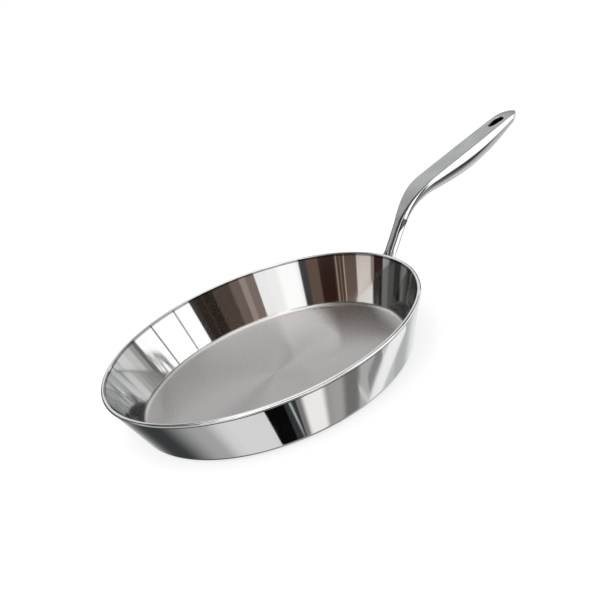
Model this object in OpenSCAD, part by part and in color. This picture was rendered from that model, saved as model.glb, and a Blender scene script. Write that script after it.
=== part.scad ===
// Omelette pan: a clad body with a sealed rim bead, and a hollow steel handle on a
// forked neck that is welded to the wall.
// Millimetres, Z up. The origin is the centre of the base's underside and the handle
// lies along +X, so the pan is alike on both sides of the XZ plane.

/* [Pan body] */
// Outside diameter over the rim bead
rim_d = 240; // [200:1:300]
// Height of the top of the rim bead above the table
pan_h = 41; // [36:0.5:60]
// Lean of the wall away from upright, in degrees
wall_lean = 22.6; // [16:0.2:30]
// Outside radius of the corner between the wall and the base
corner_r = 6; // [5:0.5:14]
// Thickness of the steel lining
liner_t = 0.4; // [0.3:0.1:0.8]
// Thickness of the aluminium core
core_t = 1.6; // [1:0.1:2.4]
// Thickness of the outer steel skin
skin_t = 0.5; // [0.3:0.1:0.8]
// How far the rim bead stands proud of the outer face of the wall
bead_lip = 0.4; // [0.2:0.1:0.8]
// How far below the middle of the bead the core and the skin stop
rim_seal = 0.9; // [0.5:0.1:1.2]

/* [Handle line] */
// Reach of the handle's bend beyond the rim, to where the neck and grip lines cross
bend_reach = 35.5; // [33:0.5:42]
// Height of that crossing above the top of the rim
bend_rise = 35.8; // [34:0.5:40]
// Slope of the neck, in degrees
neck_slope = 47; // [44:0.5:50]
// Slope of the grip, in degrees
grip_slope = 9.2; // [4:0.2:14]
// Radius of the bend along the top of the handle
bend_r = 64; // [50:1:75]
// Length of the grip from the crossing to the tip
grip_len = 123.5; // [105:0.5:150]
// Length over which the tip bows down
droop_len = 16; // [10:1:20]
// Radius of that bow
droop_r = 70; // [50:5:120]

/* [Handle section] */
// Width of the grip
grip_w = 20; // [18:0.5:24]
// Greatest depth of the grip
grip_depth = 17; // [14:0.5:20]
// Length of the grip from the middle of the bend to its greatest depth
belly_len = 62; // [50:1:72]
// Depth just before the round end of the tip
tip_depth = 7; // [5:0.5:9]
// Width just before the round end of the tip
tip_w = 16.8; // [15:0.2:19]
// Length of the round end of the tip
end_len = 10; // [8:0.5:11]
// Width of the neck
neck_w = 10.6; // [10:0.2:13]
// Depth of the neck
neck_depth = 7.4; // [7:0.2:9]
// Width of the flat along the front of the neck
neck_flat = 4; // [3:0.2:5]
// Rounding between the flat top of the grip and its sides
edge_r = 0.3; // [0.2:0.1:0.5]
// Depth of the shoulder at which the grip is widest
shoulder = 0.6; // [0.4:0.1:1]
// Distance before the middle of the bend where the neck starts to widen
widen_back = 28; // [24:1:32]
// Length after that place before the depth starts to grow too
deepen_lag = 4; // [2:0.5:6]
// Length after that place before the shoulder starts to rise to the flat
shoulder_lag = 6; // [4:0.5:10]
// Length of the grip from the middle of the bend until it has its full width
full_len = 20; // [16:1:26]
// Length of the stretch before that place in which the edges are already crisp
crisp_lead = 8; // [4:0.5:12]
// Length of the grip from the middle of the bend until it narrows towards the tip
taper_len = 66; // [60:1:76]

/* [Handle shells] */
// Thickness of the top plate
plate_t = 1.2; // [0.8:0.1:1.6]
// Wall of the belly shell
belly_t = 1; // [0.8:0.1:1.4]
// Distance of the neck joint before the middle of the bend
joint_back = 18; // [16:0.5:20]
// Length of the neck's tang inside the grip
tang_len = 30; // [20:1:40]
// Clearance between the tang and the shells
tang_gap = 0.2; // [0.1:0.05:0.4]

/* [Hanging hole] */
// Length of the hole
hole_len = 14.4; // [12:0.2:17]
// Width of the hole at its round end, towards the tip
hole_w = 9.2; // [8:0.2:10]
// Width of the hole at its narrow end
hole_narrow = 6.4; // [5:0.2:7.6]
// Metal between the hole and the tip
hole_back = 13; // [12:0.2:16]
// Wall of the eyelet that lines the hole
eyelet_t = 1.4; // [0.8:0.1:1.6]

/* [Fork] */
// Distance from the middle of the bend down the neck to where the fork begins
fork_at = 45.5; // [42:0.5:47]
// Width of each prong past the crotch
prong_w = 7.4; // [6:0.1:8]
// Depth of each prong past the crotch
prong_depth = 6; // [5:0.1:7]
// Length over which the prongs part
crotch_len = 12; // [8:0.5:16]
// Radius in which the prongs spread
spread_r = 40; // [35:1:80]
// Root gap between the prongs' feet and the wall, filled by the welds
root_gap = 0.1; // [0.08:0.02:0.2]
// Width on the wall of the fillet welds round the feet
weld_w = 2; // [1.5:0.1:2.5]
// Height of those welds off the wall
weld_h = 1.2; // [0.8:0.1:1.5]

/* [Hidden] */
$fn = 64;
body_t = skin_t + core_t + liner_t;
bead_r = (body_t + bead_lip) / 2;
bead_z = pan_h - bead_r;
bead_x = rim_d / 2 - bead_r;
// Outward normal and upward direction of the wall in its half section
wall_n = [cos(wall_lean), -sin(wall_lean)];
wall_up = [sin(wall_lean), cos(wall_lean)];
wall_x = bead_x + (bead_r - bead_lip) / cos(wall_lean);
corner_x = wall_x - bead_z * tan(wall_lean) - corner_r * (1 - sin(wall_lean)) / cos(wall_lean);
inside = 5;
bend_turn = neck_slope - grip_slope;
bend_arc = bend_r * bend_turn * PI / 180;
bend_tan = bend_r * tan(bend_turn / 2);
bend_x = rim_d / 2 + bend_reach;
bend_z = pan_h + bend_rise;
tip_s = grip_len - bend_tan + bend_arc / 2;
droop_s = tip_s - droop_len;
joint_s = -joint_back;
fork_s = -fork_at;
// Points down each side of a section, rings along each piece, steps of a search
side_pts = 10;
edge_pts = 3;
grip_rings = 30;
end_rings = 8;
eyelet_rings = 6;
neck_rings = 8;
prong_rings = 10;
halvings = 26;

// Rises smoothly from 0 at place a to 1 at place b
function ease(a, b, s) = let (t = max(0, min(1, (s - a) / (b - a)))) t * t * (3 - 2 * t);
function mix(p, q, t) = p + (q - p) * t;

// The handle's top line in the XZ plane. Place s runs along it, from 0 in the middle of
// the bend, below zero down the neck and above zero to the tip.
function slope_at(s) =
    s < -bend_arc / 2 ? neck_slope :
    s < bend_arc / 2 ? neck_slope - (s + bend_arc / 2) / bend_r * 180 / PI :
    s < droop_s ? grip_slope : grip_slope - (s - droop_s) / droop_r * 180 / PI;
function along(a) = [cos(a), sin(a)];
function across(a) = [-sin(a), cos(a)];
bend_start = [bend_x, bend_z] - bend_tan * along(neck_slope);
bend_end = [bend_x, bend_z] + bend_tan * along(grip_slope);
bend_mid = bend_start - bend_r * across(neck_slope);
droop_start = bend_end + (droop_s - bend_arc / 2) * along(grip_slope);
droop_mid = droop_start - droop_r * across(grip_slope);
function top_line(s) =
    s < -bend_arc / 2 ? bend_start + (s + bend_arc / 2) * along(neck_slope) :
    s < bend_arc / 2 ? bend_mid + bend_r * across(slope_at(s)) :
    s < droop_s ? bend_end + (s - bend_arc / 2) * along(grip_slope) :
    droop_mid + droop_r * across(slope_at(s));
// A point of a section, u sideways and v out of the top, set at place s
function place(s, p) =
    let (c = top_line(s), n = across(slope_at(s)))
    [c.x + n.x * p.y, p.x, c.y + n.y * p.y];

// How wide and deep the handle is at place s, before its round end
widen_s = -widen_back;
deepen_s = widen_s + deepen_lag;
shoulder_s = widen_s + shoulder_lag;
crisp_s = full_len - crisp_lead;
function half_w(s) = s < taper_len ?
    mix(neck_w, grip_w, ease(widen_s, full_len, s)) / 2 :
    mix(grip_w, tip_w, pow((s - taper_len) / (tip_s - taper_len), 2)) / 2;
function depth(s) = s < belly_len ?
    mix(neck_depth, grip_depth, ease(deepen_s, belly_len, s)) :
    mix(tip_depth, grip_depth, cos(90 * (s - belly_len) / (tip_s - belly_len)));
function edge(s) = mix((neck_w - neck_flat) / 2, edge_r, ease(widen_s, crisp_s, s));
function shoulder_at(s) = mix(neck_depth / 2, shoulder, ease(shoulder_s, full_len, s));
// Power of the curve under the shoulder: 2 is an ellipse, more is squarer
neck_power = 2;
grip_power = 2.3;
function squareness(s) = mix(neck_power, grip_power, ease(joint_s, full_len, s));
// How much of the width is left at place s in a round end that stops at place last
function round_end(s, last, len) =
    s < last - len ? 1 : sqrt(max(0, 1 - pow((s - last + len) / len, 2)));

// A section that is inset from the handle's skin: [half width, depth, half flat,
// shoulder, squareness]. No ring closes up to less than a sliver.
sliver = 0.02;
end_power = 0.9;
function size_at(s, inset) =
    let (
        k = round_end(s, tip_s - inset, end_len - inset),
        w = max(sliver, (half_w(s) - inset) * k),
        f = max(sliver / 2, w - edge(s)),
        d = plate_t + max(sliver, (depth(s) - inset - plate_t) * pow(k, end_power))
    )
    [w, d, f, shoulder_at(s), squareness(s)];
// The section's side at q: -1 on the edge of the flat, 0 at its widest, 1 at the bottom
function side(z, q) = q < 0 ?
    [z[2] + (z[0] - z[2]) * cos(90 * q), -z[3] + z[3] * sin(-90 * q)] :
    [z[0] * pow(cos(90 * q), 2 / z[4]), -z[3] - (z[1] - z[3]) * pow(sin(90 * q), 2 / z[4])];
// Where the side passes the level that lies top below the flat
function level(z, top) = top <= z[3] ?
    -asin(1 - top / z[3]) / 90 :
    asin(min(1, pow((top - z[3]) / (z[1] - z[3]), z[4] / 2))) / 90;

// Right side from the given level down to the bottom in n steps, then up the left side
function ring(s, inset, top, n = side_pts) =
    let (z = size_at(s, inset), q0 = level(z, top))
    [
        for (i = [0 : n]) side(z, mix(q0, 1, i / n)),
        for (i = [n - 1 : -1 : 0]) let (p = side(z, mix(q0, 1, i / n))) [-p.x, p.y]
    ];
function solid_ring(s, inset, top) = [for (p = ring(s, inset, top)) place(s, p)];
function reversed(a) = [for (i = [len(a) - 1 : -1 : 0]) a[i]];
function shell_ring(s) =
    [for (p = concat(ring(s, 0, plate_t), reversed(ring(s, belly_t, plate_t)))) place(s, p)];
function plate_ring(s) =
    let (
        z = size_at(s, 0),
        q0 = level(z, plate_t),
        edge_line = [for (i = [0 : edge_pts]) side(z, mix(q0, -1, i / edge_pts))]
    )
    [
        for (p = edge_line) place(s, [-p.x, p.y]),
        for (p = reversed(edge_line)) place(s, p)
    ];

// Faces between two loops of point numbers, and across one loop between its halves
function count_on(first, n) = [for (j = [0 : n - 1]) first + j];
function strip(a, b) = [
    for (j = [0 : len(a) - 1])
    let (k = (j + 1) % len(a))
    each [[a[j], a[k], b[k]], [a[j], b[k], b[j]]]
];
function cap(a) =
    let (n = len(a))
    [
        for (j = [0 : floor(n / 2) - 1])
        each concat(
            j + 1 < n - 2 - j ? [[a[j], a[j + 1], a[n - 2 - j]]] : [],
            [[a[j], a[n - 2 - j], a[n - 1 - j]]]
        )
    ];

// A solid through rings of equal length, each clockwise seen from the one after it
module loft(rings) {
    n = len(rings[0]);
    loops = [for (i = [0 : len(rings) - 1]) count_on(i * n, n)];
    polyhedron(
        points = [for (r = rings) each r],
        faces = concat(
            cap(reversed(loops[0])),
            [for (i = [1 : len(loops) - 1]) each strip(loops[i - 1], loops[i])],
            cap(loops[len(loops) - 1])
        ),
        convexity = 6
    );
}

// Places of the rings from the neck joint to the tip, closer in the round end, where the
// last one stops a little before the end closes
end_s = tip_s - end_len;
last_turn = 84.5;
grip_places = concat(
    [for (i = [0 : grip_rings]) mix(joint_s, end_s, i / grip_rings)],
    [for (i = [1 : end_rings]) end_s + end_len * sin(last_turn * i / end_rings)]
);

// Half section of everything inside the pan's wall at depth t, up to rise above the
// middle of the bead
module pan_fill(t, rise) {
    tangent = [corner_x, corner_r] + (corner_r - t) * wall_n;
    wall_top = [bead_x, bead_z] + (bead_r - bead_lip - t) * wall_n + rise * wall_up;
    inner_top = [bead_x, bead_z] - (bead_r + inside) * wall_n + rise * wall_up;
    polygon([[0, t], [corner_x, t], tangent, wall_top, inner_top, [0, inner_top.y]]);
    translate([corner_x, corner_r])
        circle(r = corner_r - t);
}

// Half section of the layer of the wall between depths t1 and t2
module layer(t1, t2, rise) {
    difference() {
        pan_fill(t1, rise);
        pan_fill(t2, rise + inside);
    }
}

module inner_liner() {
    color("gainsboro")
    rotate_extrude($fn = 180)
    difference() {
        union() {
            layer(0, body_t, 0);
            translate([bead_x, bead_z])
                circle(r = bead_r);
        }
        layer(-inside, body_t - liner_t, -rim_seal);
    }
}

module aluminium_core() {
    color("lightsteelblue")
    rotate_extrude($fn = 180)
        layer(skin_t, skin_t + core_t, -rim_seal);
}

module outer_skin() {
    color("silver")
    rotate_extrude($fn = 180)
        layer(0, skin_t, -rim_seal);
}

// Outline of the hanging hole, grown by g: a large and a small circle and the straight
// sides between them, a hair inside the tangents so that they cross the circles cleanly
hole_big = hole_w / 2;
hole_small = hole_narrow / 2;
hole_step = hole_len - hole_big - hole_small;
hole_s = tip_s - hole_back - hole_big;
hair = 0.005;
module hole_outline(g) {
    sink = (hole_big - hole_small) / hole_step;
    rise = sqrt(1 - sink * sink);
    big = hole_big + g - hair;
    small = hole_small + g - hair;
    circle(r = hole_big + g);
    translate([-hole_step, 0])
        circle(r = hole_small + g);
    polygon([
        [-sink * big, rise * big],
        [-hole_step - sink * small, rise * small],
        [-hole_step - sink * small, -rise * small],
        [-sink * big, -rise * big]
    ]);
}
module hole_prism(g, below, above) {
    c = top_line(hole_s);
    translate([c.x, 0, c.y])
    rotate([0, -slope_at(hole_s), 0])
    translate([0, 0, -below])
    linear_extrude(below + above)
        hole_outline(g);
}

module grip_top_plate() {
    color("darkgray")
    difference() {
        loft([for (s = grip_places) plate_ring(s)]);
        hole_prism(eyelet_t, grip_depth, inside);
    }
}

module grip_belly() {
    color("whitesmoke")
    difference() {
        loft([for (s = grip_places) shell_ring(s)]);
        hole_prism(eyelet_t, 2 * grip_depth, inside);
    }
}

module hanging_eyelet() {
    first_s = hole_s - hole_step - hole_small - 2 * eyelet_t;
    last_s = hole_s + hole_big + 2 * eyelet_t;
    color("lightgray")
    difference() {
        intersection() {
            loft([for (i = [0 : eyelet_rings])
                solid_ring(mix(first_s, last_s, i / eyelet_rings), 0, 0)]);
            hole_prism(eyelet_t, 2 * grip_depth, inside);
        }
        hole_prism(0, 3 * grip_depth, 2 * inside);
    }
}

// The fork. Each prong is half of the neck's section at fork_s. Below it the prong's
// middle moves out and its inner side grows round.
prong_half = prong_w / 2;
function part(s) = ease(0, crotch_len, fork_s - s);
function prong_in(s) = prong_half * part(s);
function prong_out(s) = mix(neck_w / 2, prong_half, part(s));
function prong_mid(s) = prong_in(s) + pow(max(0, fork_s - s), 2) / (2 * spread_r);
function prong_size(s) = [
    half_w(s),
    mix(depth(s), prong_depth, part(s)),
    half_w(s) - edge(s),
    mix(shoulder_at(s), prong_depth / 2, part(s)),
    squareness(s)
];
function prong_point(s, q, inner) =
    let (p = side(prong_size(s), q), w = (inner ? -prong_in(s) : prong_out(s)) / half_w(s))
    place(s, [prong_mid(s) + w * p.x, p.y]);
// How far a point lies outside the wall, square to it
function off_wall(p) =
    (norm([p.x, p.y]) - bead_x) * wall_n.x + (p.z - bead_z) * wall_n.y - bead_r + bead_lip;
// The place at which a line down the prong comes within gap of the wall
function foot_s(q, inner, gap, low, high, n) =
    n == 0 ? high :
    let (m = (low + high) / 2)
    off_wall(prong_point(m, q, inner)) < gap ?
        foot_s(q, inner, gap, m, high, n - 1) : foot_s(q, inner, gap, low, m, n - 1);
far_s = fork_s - 2 * crotch_len - pan_h;
// Lines down the prong: along its outer side to the bottom, then back along the inner
fork_pts = 2 * side_pts;
prong_lines = [
    for (i = [0 : fork_pts]) [mix(-1, 1, i / fork_pts), false],
    for (i = [fork_pts - 1 : -1 : 0]) [mix(-1, 1, i / fork_pts), true]
];
prong_feet = [for (l = prong_lines) foot_s(l[0], l[1], root_gap, far_s, fork_s, halvings)];
function prong_ring(t) = [
    for (i = [0 : len(prong_lines) - 1])
    prong_point(mix(prong_feet[i], fork_s, t), prong_lines[i][0], prong_lines[i][1])
];

// The neck, its tang and both prongs as one surface. A neck ring runs down the right side,
// up the left side and ends in the middle of the flat. Where the fork begins, the line
// from there down to the bottom parts the last neck ring into the two prongs' first ones.
function neck_ring(s, inset, top) =
    [for (p = concat(ring(s, inset, top, fork_pts), [[0, -top]])) place(s, p)];
module forked_neck() {
    neck_points = concat(
        [for (i = [0 : neck_rings]) neck_ring(mix(fork_s, joint_s, i / neck_rings), 0, 0)],
        [for (i = [0 : neck_rings])
            neck_ring(joint_s + tang_len * i / neck_rings, belly_t + tang_gap, plate_t + tang_gap)]
    );
    n = 2 * fork_pts + 2;
    neck_loops = [for (i = [0 : len(neck_points) - 1]) count_on(i * n, n)];
    tang_end = neck_loops[len(neck_loops) - 1];
    right = [for (i = [0 : prong_rings - 1]) prong_ring(i / prong_rings)];
    left = [for (r = right) [for (p = reversed(r)) [p.x, -p.y, p.z]]];
    m = len(prong_lines);
    mid_first = n * len(neck_points);
    mid_points = [for (i = [fork_pts + 1 : m - 2]) prong_ring(1)[i]];
    right_first = mid_first + len(mid_points);
    left_first = right_first + m * prong_rings;
    crotch = concat(
        count_on(0, fork_pts + 1),
        count_on(mid_first, len(mid_points)),
        [n - 1]
    );
    other_crotch = concat(
        [n - 1],
        reversed(count_on(mid_first, len(mid_points))),
        count_on(fork_pts, fork_pts + 1)
    );
    right_loops = concat([for (i = [0 : prong_rings - 1]) count_on(right_first + i * m, m)], [crotch]);
    left_loops = concat([for (i = [0 : prong_rings - 1]) count_on(left_first + i * m, m)], [other_crotch]);
    color("gainsboro")
    polyhedron(
        points = [for (r = concat(neck_points, [mid_points], right, left)) each r],
        faces = concat(
            cap(reversed(right_loops[0])),
            cap(reversed(left_loops[0])),
            [for (i = [1 : prong_rings])
                each concat(
                    strip(right_loops[i - 1], right_loops[i]),
                    strip(left_loops[i - 1], left_loops[i])
                )],
            [for (i = [1 : len(neck_loops) - 1]) each strip(neck_loops[i - 1], neck_loops[i])],
            [for (j = [0 : n - 1])
                let (k = (j + 1) % n)
                if (j != fork_pts && k != fork_pts) [tang_end[fork_pts], tang_end[j], tang_end[k]]]
        ),
        convexity = 8
    );
}

// A fillet weld round one foot: its corner, its toe up the prong and its toe on the
// wall. It grows thin at the top, where the bead leaves it no room.
weld_clear = 0.05;
weld_top = bead_z - bead_r - 4 * weld_clear;
weld_fade = 3 * weld_h;
weld_pts = 3;
foot = prong_ring(0);
foot_pts = len(foot);
foot_mid = [for (p = foot) 1] * foot / foot_pts;
function wall_normal(p) =
    let (r = norm([p.x, p.y])) [p.x / r * wall_n.x, p.y / r * wall_n.x, wall_n.y];
function weld_loop(i) =
    let (
        l = prong_lines[i],
        corner = foot[i],
        room = max(2 * root_gap, min(1, (weld_top - corner.z) / weld_fade) * weld_h),
        toe_s = foot_s(l[0], l[1], room, prong_feet[i], fork_s + weld_w, halvings),
        n = wall_normal(corner),
        run = foot[(i + 1) % foot_pts] - foot[(i + foot_pts - 1) % foot_pts],
        side_way = cross(run, n) / norm(cross(run, n)),
        out = side_way * sign(side_way * (corner - foot_mid)),
        sink = (root_gap - weld_clear) * n,
        toe = corner + room / weld_h * weld_w * out - sink
    )
    [
        corner + weld_clear * out - sink,
        prong_point(toe_s, l[0], l[1]) + weld_clear * out,
        [toe.x, max(weld_clear, toe.y), toe.z]
    ];
module foot_weld() {
    n = foot_pts;
    loops = [for (i = [0 : n - 1]) weld_loop(i)];
    polyhedron(
        points = [for (l = loops) each l],
        faces = [
            for (i = [0 : n - 1], k = [0 : weld_pts - 1])
            let (
                next = (i + 1) % n,
                turned = (k + 1) % weld_pts,
                a = weld_pts * i + k,
                b = weld_pts * i + turned,
                c = weld_pts * next + turned,
                d = weld_pts * next + k
            )
            each [[a, b, c], [a, c, d]]
        ],
        convexity = 6
    );
}
module foot_weld_left() {
    color("silver")
        foot_weld();
}
module foot_weld_right() {
    color("silver")
    mirror([0, 1, 0])
        foot_weld();
}

inner_liner();
aluminium_core();
outer_skin();
grip_top_plate();
grip_belly();
hanging_eyelet();
forked_neck();
foot_weld_left();
foot_weld_right();
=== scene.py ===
import math

import bmesh
import bpy
import numpy as np
from mathutils import Matrix


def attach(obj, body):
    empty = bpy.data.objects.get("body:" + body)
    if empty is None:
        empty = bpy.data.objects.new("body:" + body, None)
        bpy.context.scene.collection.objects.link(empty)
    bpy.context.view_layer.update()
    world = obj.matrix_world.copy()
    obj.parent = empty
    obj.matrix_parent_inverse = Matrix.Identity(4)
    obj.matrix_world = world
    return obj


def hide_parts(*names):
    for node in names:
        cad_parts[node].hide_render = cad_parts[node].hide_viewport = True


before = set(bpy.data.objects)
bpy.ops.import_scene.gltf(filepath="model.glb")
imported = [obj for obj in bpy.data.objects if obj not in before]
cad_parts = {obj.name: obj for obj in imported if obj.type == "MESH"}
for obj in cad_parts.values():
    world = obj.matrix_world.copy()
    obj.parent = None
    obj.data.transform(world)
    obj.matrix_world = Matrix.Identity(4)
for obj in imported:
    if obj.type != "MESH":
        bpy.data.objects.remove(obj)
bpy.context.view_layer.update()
print("frame loaded:", sorted(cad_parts))


# Small helpers for smooth surfaces worked out as whole arrays

def eased(a, b, s):
    # rises from 0 at a to 1 at b as t*t*(3 - 2t)
    t = np.clip((s - a) / (b - a), 0, 1)
    return t * t * (3 - 2 * t)


def mixed(p, q, t):
    return p + (q - p) * t


def arcPoints(centre, radius, start, end, steps):
    # centre + radius * (cos a, sin a), a in degrees from start to end
    a = np.radians(np.linspace(start, end, steps + 1))
    return np.stack([centre[0] + radius * np.cos(a), centre[1] + radius * np.sin(a)], 1)


def linePoints(start, end, shares):
    # points at the given shares of the way from start to end
    return mixed(np.array(start), np.array(end), np.array(shares)[:, None])


def gridFaces(rows, columns, firstPoint=0):
    # quads of a grid of closed rings with columns points each, numbered row by row
    i, j = np.meshgrid(np.arange(rows - 1), np.arange(columns), indexing="ij")
    k = (j + 1) % columns
    quads = np.stack([i * columns + j, i * columns + k, (i + 1) * columns + k, (i + 1) * columns + j], -1)
    return (quads.reshape(-1, 4) + firstPoint).tolist()


def linkedObject(name, data):
    made = bpy.data.objects.new(name, data)
    bpy.context.scene.collection.objects.link(made)
    return made


creaseAngle = 35  # degrees between two faces past which their edge stays sharp


def smoothed(mesh, sharpAngle):
    mesh.shade_smooth()
    mesh.set_sharp_from_angle(angle=math.radians(sharpAngle))


def finishedMesh(name, points, faces, sharpAngle=creaseAngle, marks=None):
    # one object at the origin: doubles merged, faces turned outwards, smooth with sharp corners;
    # marks are two values per point, kept as its UV
    mesh = bpy.data.meshes.new(name)
    mesh.from_pydata(points.tolist(), [], faces)
    if marks is not None:
        layer = mesh.uv_layers.new(name="marks")
        layer.uv.foreach_set("vector", marks[np.concatenate(faces)].ravel())
    work = bmesh.new()
    work.from_mesh(mesh)
    bmesh.ops.remove_doubles(work, verts=work.verts, dist=1e-7)
    bmesh.ops.dissolve_degenerate(work, edges=work.edges, dist=1e-8)
    bmesh.ops.recalc_face_normals(work, faces=work.faces)
    work.to_mesh(mesh)
    work.free()
    smoothed(mesh, sharpAngle)
    return linkedObject(name, mesh)


def ringMesh(name, rings, capped=False, **values):
    # closed rings joined by quads; capped: with a face across the first and the last ring
    rows, columns = rings.shape[:2]
    faces = gridFaces(rows, columns)
    if capped:
        faces += [list(range(columns)), list(range((rows - 1) * columns, rows * columns))]
    return finishedMesh(name, rings.reshape(-1, 3), faces, **values)


def revolved(name, profile, segments):
    # the half section (r, z), from axis to axis, turned round Z: x = r cos a, y = r sin a
    a = np.linspace(0, 2 * np.pi, segments, endpoint=False)
    r, z = profile[:, :1], profile[:, 1:]
    return ringMesh(name, np.stack([r * np.cos(a), r * np.sin(a), z + 0 * a], -1))


def cutWith(piece, cutter):
    # takes the cutter's volume out of the piece and keeps the result as its mesh
    change = piece.modifiers.new("cut", "BOOLEAN")
    change.operation = "DIFFERENCE"
    change.solver = "EXACT"
    change.object = cutter
    bpy.context.view_layer.update()
    cut = bpy.data.meshes.new_from_object(piece.evaluated_get(bpy.context.evaluated_depsgraph_get()))
    piece.modifiers.clear()
    piece.data = cut
    smoothed(cut, creaseAngle)


def placedPiece(piece, material, slot, *nodes):
    piece.data.materials.clear()
    piece.data.materials.append(material)
    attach(piece, "root")
    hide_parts(*nodes)


# Node helpers for the materials

def addNode(tree, kind, **values):
    made = tree.nodes.new(kind)
    for name, value in values.items():
        setattr(made, name, value)
    return made


def joinSockets(tree, made, sources):
    # fills the node's inputs, named or numbered, with links or plain values
    for key, source in sources.items():
        if isinstance(source, bpy.types.NodeSocket):
            tree.links.new(source, made.inputs[key])
        else:
            made.inputs[key].default_value = source


def nodeFrom(tree, kind, sources, result=0, **values):
    made = addNode(tree, kind, **values)
    joinSockets(tree, made, sources)
    return made.outputs[result]


def mathNode(tree, operation, *sources):
    return nodeFrom(tree, "ShaderNodeMath", dict(enumerate(sources)), operation=operation)


def rangeNode(tree, value, fromMin, fromMax, toMin=0.0, toMax=1.0, kind="SMOOTHSTEP"):
    sources = dict(enumerate((value, fromMin, fromMax, toMin, toMax)))
    return nodeFrom(tree, "ShaderNodeMapRange", sources, interpolation_type=kind)


def mixColor(tree, share, first, second):
    return nodeFrom(tree, "ShaderNodeMix", {0: share, 6: first, 7: second}, 2, data_type="RGBA")


def mixValue(tree, share, first, second):
    return nodeFrom(tree, "ShaderNodeMix", {0: share, 2: first, 3: second})


def noiseNode(tree, place, scale, detail=2.0):
    return nodeFrom(tree, "ShaderNodeTexNoise", {"Vector": place, "Scale": scale, "Detail": detail})


def objectPlace(tree):
    return addNode(tree, "ShaderNodeTexCoord").outputs["Object"]


def splitParts(tree, place):
    made = addNode(tree, "ShaderNodeSeparateXYZ")
    tree.links.new(place, made.inputs[0])
    return made.outputs


def newGroup(name, inputs, outputs):
    # inputs and outputs: the kind of each named socket
    tree = bpy.data.node_groups.new(name, "ShaderNodeTree")
    for side, sockets in (("INPUT", inputs), ("OUTPUT", outputs)):
        for label, kind in sockets.items():
            tree.interface.new_socket(name=label, in_out=side, socket_type="NodeSocket" + kind)
    return tree, tree.nodes.new("NodeGroupInput").outputs, tree.nodes.new("NodeGroupOutput").inputs


def groupNode(tree, group, **sources):
    made = addNode(tree, "ShaderNodeGroup", node_tree=group)
    joinSockets(tree, made, sources)
    return made.outputs


# The studio, as the polished steel sees it

def grey(tone, warmth=0.0):
    # a card of the given tone; warmth brings red up and blue down by half as much
    return (tone * (1 + warmth), tone, tone * (1 - warmth / 2), 1)


redWood = (0.03, 0.0105, 0.006, 1)
darkRedWood = (0.026, 0.0005, 0.0, 1)
dimRedWood = (0.012, 0.002, 0.001, 1)

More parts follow.
